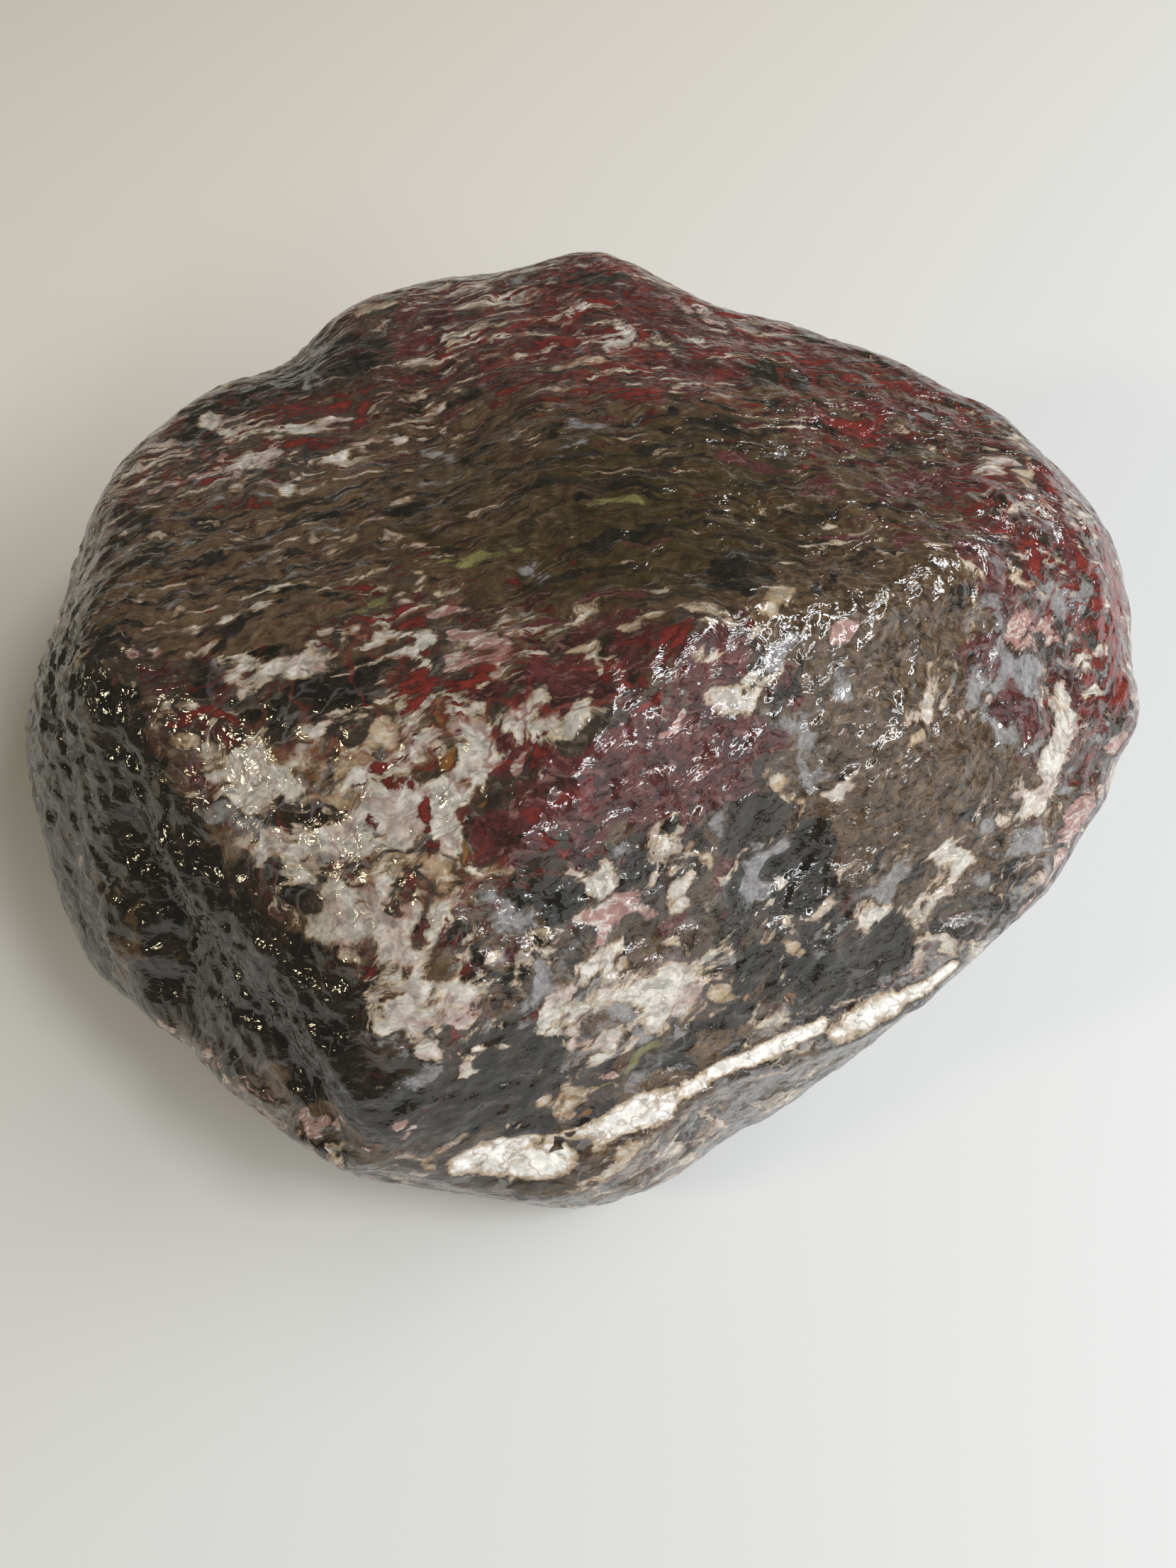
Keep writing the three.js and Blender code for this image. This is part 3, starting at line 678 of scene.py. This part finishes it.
def store_strokes(mesh, coarse):
    """Lays the strokes over each other: above 0 inside a kind's strokes, below 0 inside others'."""
    corners = [Vector(place) for place in vertices_mm(coarse)]
    faces = [tuple(face.vertices) for face in coarse.polygons]
    tree = BVHTree.FromPolygons(corners, faces)
    steady = vertices_mm(mesh)
    wandering = wandered(steady)
    cover = {kind: np.zeros(len(steady)) for kind in STROKE_KINDS}
    for stroke_kind, half_width, *pixels in STROKES:
        path = [seen_place(tree, pixel) for pixel in pixels]
        points = steady if stroke_kind == "vein" else wandering
        inside = 1 - smooth(path_distance(points, path) / half_width, *STROKE_FADE)
        for kind in STROKE_KINDS:
            if kind == stroke_kind:
                cover[kind] = np.maximum(cover[kind], inside)
            else:
                cover[kind] *= 1 - inside
    total = sum(cover.values())
    for kind in STROKE_KINDS:
        store(mesh, "stroke_" + kind, 2 * cover[kind] - total)


def relief_tree():
    """Geometry nodes that make the stone finer and crumple its surface."""
    tree = bpy.data.node_groups.new("Crumpled relief", "GeometryNodeTree")
    sockets = tree.interface
    sockets.new_socket("Geometry", in_out="INPUT", socket_type="NodeSocketGeometry")
    sockets.new_socket("Fineness", in_out="INPUT", socket_type="NodeSocketInt")
    for name in RELIEF_SIZES:
        sockets.new_socket(name, in_out="INPUT", socket_type="NodeSocketFloat")
    sockets.new_socket("Material", in_out="INPUT", socket_type="NodeSocketMaterial")
    sockets.new_socket("Geometry", in_out="OUTPUT", socket_type="NodeSocketGeometry")
    recipe = Recipe(tree)
    given = recipe.node("NodeGroupInput")
    take = {socket.name: Wire(recipe, socket) for socket in given.outputs if socket.name}

    def share(name):
        values = {"Name": "share_" + name}
        return recipe.wire("GeometryNodeInputNamedAttribute", {"data_type": "FLOAT"}, values)

    finer = recipe.wire(
        "GeometryNodeSubdivisionSurface", None, {"Mesh": take["Geometry"], "Level": take["Fineness"]}
    )
    mm = recipe.wire("GeometryNodeInputPosition", carries="vector") * (1 / MM)
    normal = recipe.wire("GeometryNodeInputNormal", carries="vector")
    layers = recipe.dot(mm, LAYER_SLOPE)
    rise = recipe.dot(mm, LAYER_RISE)
    along = recipe.dot(mm, (1.0, 0.0, 0.0))
    laid = recipe.vector(along / FOLD_RUN[0], rise / FOLD_RUN[1], layers)
    folds = folds_of(recipe, recipe.measured(laid, take["Crumple size"]))
    lumps = recipe.noise(mm, 6.0, 2.0)
    rough = share("crumple")
    crumple = (folds * 0.8 + (lumps - 0.5) * 1.2) * take["Crumple height"] * (rough * rough * 0.85 + 0.15)
    grit = recipe.noise(recipe.measured(mm, take["Grain size"]), 1.0, 2.0)
    grain = (grit - 0.5) * take["Grain height"] * (share("grain") + 0.3)
    above_rest = recipe.step(recipe.dot(mm, (0.0, 0.0, 1.0)), *RELIEF_START)
    height = (crumple + grain) * above_rest * MM
    stone = recipe.wire("GeometryNodeSetPosition", None, {"Geometry": finer, "Offset": normal * height})
    stone = recipe.wire("GeometryNodeSetShadeSmooth", None, {0: stone})
    stone = recipe.wire("GeometryNodeRealizeInstances", None, {0: stone})
    dress = {"Geometry": stone, "Material": take["Material"]}
    recipe.node("NodeGroupOutput", None, {0: recipe.wire("GeometryNodeSetMaterial", None, dress)})
    return tree


def folds_of(recipe, place):
    """Sharp-crested folds about zero."""
    cloud = recipe.noise(place, 1.0, 2.0, 0.5, 0.6)
    return 0.5 - recipe.maths("ABSOLUTE", cloud - 0.5) * 5.0


def banded_material(paint):
    """The wet rock: brown and dark ground, maroon, red jasper, white quartz, haze that is partly painted
    sheen, and grain.
    """
    material, recipe = empty_material("Wet banded rock")
    mm = object_place(recipe) * (1 / MM)

    def attribute(name):
        return recipe.wire("ShaderNodeAttribute", {"attribute_name": name}, output="Fac")

    share = {name: attribute("share_" + name) for name in SHARES if name != "crumple"}
    stroke = {kind: attribute("stroke_" + kind) for kind in STROKE_KINDS}

    bent = mm + recipe.shifts(mm, 20.0, 2.0) * 12.0 + recipe.shifts(mm, 5.0, 3.0) * 4.0
    x = recipe.dot(bent, (1.0, 0.0, 0.0))
    layers = recipe.dot(bent, LAYER_SLOPE) + x * x * LAYER_BEND
    laid = recipe.vector(x / STREAK_RUN[0], recipe.dot(bent, LAYER_RISE) / STREAK_RUN[1], layers)
    patchy = bent - recipe.vector(*PATCH_RUN) * (recipe.dot(bent, PATCH_RUN) * 0.5)
    streaked = recipe.step(share["streak"], 0.35, 0.65)

    def pattern(shift, streak_size, patch_size, rough=0.62):
        """Streaks along the layers where the rock is streaked, patches elsewhere."""
        moved = (shift, 2 * shift, -shift)
        streaks = recipe.noise(laid + moved, streak_size, 5.0, rough)
        patches = recipe.noise(patchy + moved, patch_size, 5.0, rough)
        return recipe.blended(streaked, patches, streaks)

    def depth(cloud, amount, own):
        """How deep inside a kind of rock a point is: above 0 inside, below 0 outside."""
        return (cloud - 0.5) * 2.2 + amount * 0.75 + own * 0.45 - 0.4

    def stained(cloud, own, firm=0.6):
        """The same for a kind that is found in its strokes alone."""
        return (cloud - 0.5) * 1.6 + own * firm - 0.4

    def seams(place, size):
        """Thin lines that wander through the rock: 1 in their middle, 0 beside them."""
        cloud = recipe.noise(place, size, 3.0, 0.5)
        return recipe.step(recipe.maths("ABSOLUTE", cloud - 0.5), 0.03, 0.004)

    fine_clouds = recipe.clouds(mm, 0.9, 4.0, 0.65, 0.0)
    fine = Wire(recipe, fine_clouds.outputs[0])
    shaken = mm + Wire(recipe, fine_clouds.outputs[1], "vector") * 0.4
    soft = recipe.noise(bent, 6.0, 3.0)
    fleck = recipe.noise(laid, 0.62, 3.0, 0.6)
    cells = {"Vector": shaken, "Scale": 0.85}
    grain = recipe.dot(recipe.wire("ShaderNodeTexVoronoi", None, cells, "Color", "vector"), (0.5, 0.3, 0.2))
    light_fleck = recipe.step(fleck, 0.53, 0.68)
    dark_fleck = recipe.step(fleck, 0.47, 0.32)

    def laid_over(under, deep, upper):
        return recipe.mixed(recipe.step(deep, -EDGE_BLEND, EDGE_BLEND), under, upper)

    # Brown, green and grey ground, grained and flecked
    ground = recipe.mixed(recipe.step(soft, 0.35, 0.65), paint.brown, paint.warm_brown)
    ground = recipe.mixed(recipe.step(share["green"] + soft - 0.5, 0.15, 0.55), ground, paint.olive)
    not_brown = recipe.step(0.95 - share["brown"] + (soft - 0.5) - stroke["brown"] * 0.5, 0.2, 0.8)
    ground = recipe.mixed(not_brown, ground, paint.grey)
    grained = recipe.mixed(recipe.step(grain, 0.3, 0.75), paint.grain_dark, paint.grain_light)
    ground = recipe.mixed(share["grain"] * 0.9, ground, grained)
    specks = light_fleck * 0.4 * (1.1 - share["dark"] - share["green"] * 0.5)
    ground = recipe.mixed(specks, ground, paint.speck)
    ground = recipe.mixed(dark_fleck * 0.6, ground, paint.black)

    # Maroon and dark iron ore
    maroon_depth = depth(pattern(131.0, 2.6, 6.0), share["maroon"], stroke["maroon"])
    maroon = recipe.mixed(recipe.step(fine + soft, 0.85, 1.2), paint.maroon, paint.deep_maroon)
    maroon = recipe.mixed(light_fleck * 0.4, maroon, paint.pink)
    ground = laid_over(ground, maroon_depth, maroon)
    dark_depth = depth(pattern(83.0, 2.2, 5.0), share["dark"], stroke["dark"])
    dark = recipe.mixed(recipe.step(fine + soft, 0.8, 1.25), paint.black, paint.dark_grey)
    ground = laid_over(ground, dark_depth, dark)

    # Thin grey-white quartz, and painted sheen: grey reflections of the bright room on smooth facets
    haze_and_sheen_depth = depth(pattern(211.0, 2.0, 5.0, 0.68), share["haze_and_sheen"] * 0.7, stroke["haze_and_sheen"])
    haze_and_sheen = recipe.step(haze_and_sheen_depth, -0.06, 0.24) * recipe.step(fine, 0.3, 0.6, 0.45, 0.85)
    ground = recipe.mixed(haze_and_sheen, ground, paint.haze_and_sheen)
    haze_and_sheen_seams = seams(patchy + (61.0, 0.0, 0.0), 8.0) * recipe.step(share["haze_and_sheen"], 0.3, 1.0) * 0.45
    ground = recipe.mixed(haze_and_sheen_seams, ground, paint.haze_and_sheen)

    # White quartz with cream and pink stains
    white_depth = depth(pattern(11.0, 2.0, 4.0), share["white"], stroke["white"])
    white = recipe.mixed(recipe.step(white_depth, 0.0, 0.25), paint.cream, paint.white)
    white = recipe.mixed(recipe.step(soft, 0.48, 0.7) * 0.6, white, paint.pink)
    white = recipe.mixed(recipe.step(fleck, 0.52, 0.38) * 0.6, white, paint.veil)
    ground = laid_over(ground, white_depth, white)
    stain_cloud = pattern(171.0, 1.8, 3.6)
    vein_depth = stained(stain_cloud, stroke["vein"], 0.85)
    vein = recipe.mixed(recipe.step(vein_depth, 0.05, 0.4), paint.cream, paint.vein)
    vein = recipe.mixed(recipe.step(soft, 0.5, 0.66) * 0.55, vein, paint.cream)
    vein = recipe.mixed(seams(mm + (29.0, 0.0, 0.0), 5.0) * 0.5, vein, paint.tan)
    ground = laid_over(ground, vein_depth, vein)
    cream_depth = stained(stain_cloud, stroke["cream"])
    cream = recipe.mixed(recipe.step(cream_depth, 0.0, 0.25), paint.tan, paint.cream)
    cream = recipe.mixed(recipe.step(fleck, 0.48, 0.62) * 0.5, cream, paint.white)
    ground = laid_over(ground, cream_depth, cream)
    pink_depth = stained(stain_cloud, stroke["pink"])
    pink = recipe.mixed(recipe.step(fleck, 0.48, 0.62) * 0.7, paint.pink, paint.white)
    ground = laid_over(ground, pink_depth, pink)

    # Red jasper, and small stains of ochre and green
    red_depth = depth(pattern(47.0, 1.2, 2.8), share["red"], stroke["red"] * 0.8)
    red = recipe.mixed(recipe.step(red_depth, 0.0, 0.25), paint.deep_red, paint.red)
    red = recipe.mixed(dark_fleck * 0.7, red, paint.deep_red)
    ground = laid_over(ground, red_depth, red)
    red_seams = seams(bent + (0.0, 93.0, 0.0), 11.0) * recipe.step(share["red"], 0.1, 0.5) * 0.75
    ground = recipe.mixed(red_seams, ground, paint.red)
    green_depth = stained(stain_cloud, stroke["green"])
    ground = recipe.mixed(recipe.step(green_depth, -0.1, 0.2) * 0.65, ground, paint.green)
    ochre_depth = stained(stain_cloud, stroke["ochre"])
    ground = recipe.mixed(recipe.step(ochre_depth, -0.1, 0.2) * 0.75, ground, paint.ochre)
    tone = recipe.noise(mm, 1.7, 3.0, 0.6)
    painted = ground * recipe.step(tone, 0.3, 0.7, 0.78, 1.2)

    # Wet surface
    lumps = recipe.noise(mm, 4.5, 1.0, 0.4)
    wrinkles = recipe.noise(laid * 1.3, 1.5, 2.0, 0.5)
    pits = recipe.step(grain, 0.05, 0.35) * share["grain"]
    relief = lumps + wrinkles * 0.35 + pits * 0.08 + fleck * 0.05
    bump = {"Strength": 1.0, "Distance": BUMP_HEIGHT * MM, "Height": relief}
    gloss = recipe.step(fine, 0.35, 0.8, paint.roughness, paint.roughness + 0.1)
    surface = {
        "Base Color": painted,
        "Roughness": gloss,
        "Normal": recipe.wire("ShaderNodeBump", None, bump),
        "IOR": WET_IOR,
    }
    finish_material(recipe, surface)
    return material


def empty_material(name):
    material = bpy.data.materials.new(name)
    material.use_nodes = True
    material.node_tree.nodes.clear()
    return material, Recipe(material.node_tree)


def object_place(recipe):
    """The place on the object, in metres."""
    return recipe.wire("ShaderNodeTexCoord", output="Object", carries="vector")


def finish_material(recipe, surface):
    shader = recipe.wire("ShaderNodeBsdfPrincipled", None, surface)
    recipe.node("ShaderNodeOutputMaterial", None, {"Surface": shader})


def colour_setting(name, description, *shares):
    return bpy.props.FloatVectorProperty(
        name=name, description=description, default=(*shares, 1.0), subtype="COLOR", size=4, min=0.0, max=1.0
    )


def amount_setting(name, description, default, **limits):
    limits = {"min": 0.0, **limits}
    return bpy.props.FloatProperty(name=name, description=description, default=default, **limits)


class StoneSettings(bpy.types.PropertyGroup):
    """What a user would change on the stone."""

    fineness: bpy.props.IntProperty(
        name="Fineness", description="How often the packed faces are divided", default=2, min=0, max=2
    )
    crumple_height: amount_setting("Crumple height", "Height of the folds, in millimetres", 1.5)
    crumple_size: amount_setting("Crumple size", "Size of the folds, in millimetres", 3.4, min=0.5)
    grain_height: amount_setting("Grain height", "Height of the grains, in millimetres", 0.6)
    grain_size: amount_setting("Grain size", "Size of the grains, in millimetres", 2.0, min=0.5)
    roughness: amount_setting("Roughness", "Roughness of the wet surface", 0.05, max=1.0)
    brown: colour_setting("Brown", "Brown ground of the rock", 0.105, 0.064, 0.031)
    warm_brown: colour_setting("Warm brown", "Warmer brown ground", 0.165, 0.1, 0.05)
    olive: colour_setting("Olive", "Green-brown heart of the top", 0.044, 0.03, 0.007)
    grey: colour_setting("Grey", "Grey ground of the rock", 0.045, 0.035, 0.029)
    grain_dark: colour_setting("Dark grain", "Darker grains", 0.036, 0.023, 0.013)
    grain_light: colour_setting("Light grain", "Lighter grains", 0.125, 0.083, 0.049)
    speck: colour_setting("Speck", "Pale single grains", 0.3, 0.24, 0.17)
    maroon: colour_setting("Maroon", "Purple-red iron ore", 0.105, 0.03, 0.028)
    deep_maroon: colour_setting("Deep maroon", "Darkest purple-red", 0.038, 0.016, 0.016)
    black: colour_setting("Black", "Darkest iron ore", 0.01, 0.009, 0.007)
    dark_grey: colour_setting("Dark grey", "Dark grey iron ore", 0.032, 0.024, 0.016)
    # This grey is thin quartz and also painted sheen, the grey reflection of the bright room on smooth
    # facets
    haze_and_sheen: colour_setting("Haze", "Thin grey-white quartz", 0.31, 0.3, 0.3)
    veil: colour_setting("Veil", "Grey veils in the white quartz", 0.27, 0.25, 0.22)
    white: colour_setting("White", "Thick white quartz", 0.66, 0.62, 0.55)
    vein: colour_setting("Vein", "Whitest quartz of the raised vein", 0.92, 0.89, 0.84)
    cream: colour_setting("Cream", "Cream edges of the quartz", 0.46, 0.35, 0.23)
    tan: colour_setting("Tan", "Stained edges of the cream patches", 0.26, 0.16, 0.085)
    pink: colour_setting("Pink", "Quartz stained by jasper", 0.36, 0.2, 0.17)
    red: colour_setting("Red", "Red jasper", 0.19, 0.028, 0.02)
    deep_red: colour_setting("Deep red", "Dark edges of the jasper", 0.06, 0.013, 0.01)
    green: colour_setting("Green", "Green-yellow stain", 0.24, 0.23, 0.08)
    ochre: colour_setting("Ochre", "Rusty stain", 0.27, 0.12, 0.03)


class StageSettings(bpy.types.PropertyGroup):
    """What a user would change on the table, lights and camera."""

    floor_size: amount_setting("Floor size", "Length of the table's sides", 3.0, unit="LENGTH")
    # The table's two colours are painted light: cool by the window, warm and a little brighter away from it
    floor_painted_daylight: colour_setting("Floor", "Table by the window", 0.78, 0.79, 0.79)
    floor_painted_warm_light: colour_setting("Far floor", "Table away from the window", 0.89, 0.84, 0.75)
    window_power: amount_setting("Window power", "Power of the window light, in watts", 13.0)
    wall_power: amount_setting("Wall power", "Power of the broad light on the front right, in watts", 3.2)
    lamp_power: amount_setting("Lamp power", "Power of the warm light on the left, in watts", 2.0)
    high_power: amount_setting("High power", "Power of the small high window, in watts", 2.8)
    sky: amount_setting("Room light", "Brightness of the room around", 0.14)


class STONE_OT_banded_block(bpy.types.Operator):
    """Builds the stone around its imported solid"""

    bl_idname = "stone.banded_block"
    bl_label = "Banded block"

    def execute(self, context):
        settings = context.scene.stone_settings
        solid = merged_copy(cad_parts["stone"])
        store_zones(solid)
        block = bpy.data.objects.new("Stone_block", solid)
        context.scene.collection.objects.link(block)
        relief = block.modifiers.new("Crumpled relief", "NODES")
        relief.node_group = relief_tree()
        values = {"Fineness": settings.fineness, "Material": banded_material(settings)}
        for name in RELIEF_SIZES:
            values[name] = getattr(settings, name.lower().replace(" ", "_"))
        for item in relief.node_group.interface.items_tree:
            if item.in_out == "INPUT" and item.name in values:
                relief[item.identifier] = values[item.name]
        graph = context.evaluated_depsgraph_get()
        finished = bpy.data.meshes.new_from_object(block.evaluated_get(graph))
        block.modifiers.remove(relief)
        block.data = finished
        store_strokes(finished, solid)
        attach(block, "root")
        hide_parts("stone")
        return {"FINISHED"}


def floor_material(settings):
    material, recipe = empty_material("Pale table")
    # Painted light: the table's colour goes from the warm room light to the cool daylight towards the window
    across = recipe.dot(object_place(recipe), TOWARDS_WINDOW)
    tone = recipe.mixed(recipe.step(across, -0.3, 0.12), settings.floor_painted_warm_light, settings.floor_painted_daylight)
    finish_material(recipe, {"Base Color": tone, "Roughness": 0.6})
    return material


def area_light(name, place, size, power, tint):
    """A rectangular light that looks at the origin."""
    light = bpy.data.lights.new(name, "AREA")
    light.shape = "RECTANGLE"
    light.size, light.size_y = size
    light.energy = power
    light.color = tint
    holder = bpy.data.objects.new(name, light)
    holder.location = place
    holder.rotation_euler = Vector(place).to_track_quat("Z", "Y").to_euler()
    bpy.context.scene.collection.objects.link(holder)


class STONE_OT_table_stage(bpy.types.Operator):
    """Sets the pale table, the window light and the camera"""

    bl_idname = "stone.table_stage"
    bl_label = "Table, light and camera"

    def execute(self, context):
        settings = context.scene.stage_settings
        half = settings.floor_size / 2
        mesh = bpy.data.meshes.new("Table_top")
        corners = ((-half, -half, 0), (half, -half, 0), (half, half, 0), (-half, half, 0))
        mesh.from_pydata(corners, [], [(0, 1, 2, 3)])
        mesh.materials.append(floor_material(settings))
        floor = bpy.data.objects.new("Table_top", mesh)
        context.scene.collection.objects.link(floor)

        area_light("Window", (0.82, -0.17, 0.75), (2.0, 0.11), settings.window_power, DAYLIGHT)
        area_light("High window", (0.53, -0.15, 0.95), (0.25, 0.17), settings.high_power, DAYLIGHT)
        area_light("Bright wall", (1.15, -0.85, 0.5), (1.5, 0.7), settings.wall_power, DAYLIGHT)
        area_light("Warm lamp", (-0.95, -0.3, 0.6), (0.16, 0.08), settings.lamp_power, LAMPLIGHT)

        world = bpy.data.worlds.new("Room")
        world.use_nodes = True
        background = world.node_tree.nodes["Background"]
        background.inputs["Color"].default_value = ROOM_TINT
        background.inputs["Strength"].default_value = settings.sky
        context.scene.world = world
        context.scene.view_settings.view_transform = "Standard"

        data = bpy.data.cameras.new("Camera")
        data.sensor_width = SENSOR
        data.lens = CAMERA_LENS
        data.clip_start = 0.005
        camera = bpy.data.objects.new("Camera", data)
        camera.location = Vector(CAMERA_PLACE) * MM
        camera.rotation_euler = camera_turn()
        context.scene.collection.objects.link(camera)
        context.scene.camera = camera
        return {"FINISHED"}


class STONE_PT_sidebar(bpy.types.Panel):
    """Lists the stone's pieces and their settings"""

    bl_idname = "STONE_PT_sidebar"
    bl_label = "Banded iron stone"
    bl_space_type = "VIEW_3D"
    bl_region_type = "UI"
    bl_category = "Stone"

    def draw(self, context):
        layout = self.layout
        for operator in OPERATORS:
            layout.operator(operator.bl_idname)
        for settings in (context.scene.stone_settings, context.scene.stage_settings):
            for name in settings.__annotations__:
                layout.prop(settings, name)


OPERATORS = (STONE_OT_banded_block, STONE_OT_table_stage)
CLASSES = (StoneSettings, StageSettings, *OPERATORS, STONE_PT_sidebar)


def register():
    for cls in CLASSES:
        bpy.utils.register_class(cls)
    bpy.types.Scene.stone_settings = bpy.props.PointerProperty(type=StoneSettings)
    bpy.types.Scene.stage_settings = bpy.props.PointerProperty(type=StageSettings)


def unregister():
    del bpy.types.Scene.stone_settings
    del bpy.types.Scene.stage_settings
    for cls in reversed(CLASSES):
        bpy.utils.unregister_class(cls)


def main():
    register()
    bpy.ops.stone.banded_block()
    bpy.ops.stone.table_stage()


if __name__ == "__main__":
    main()
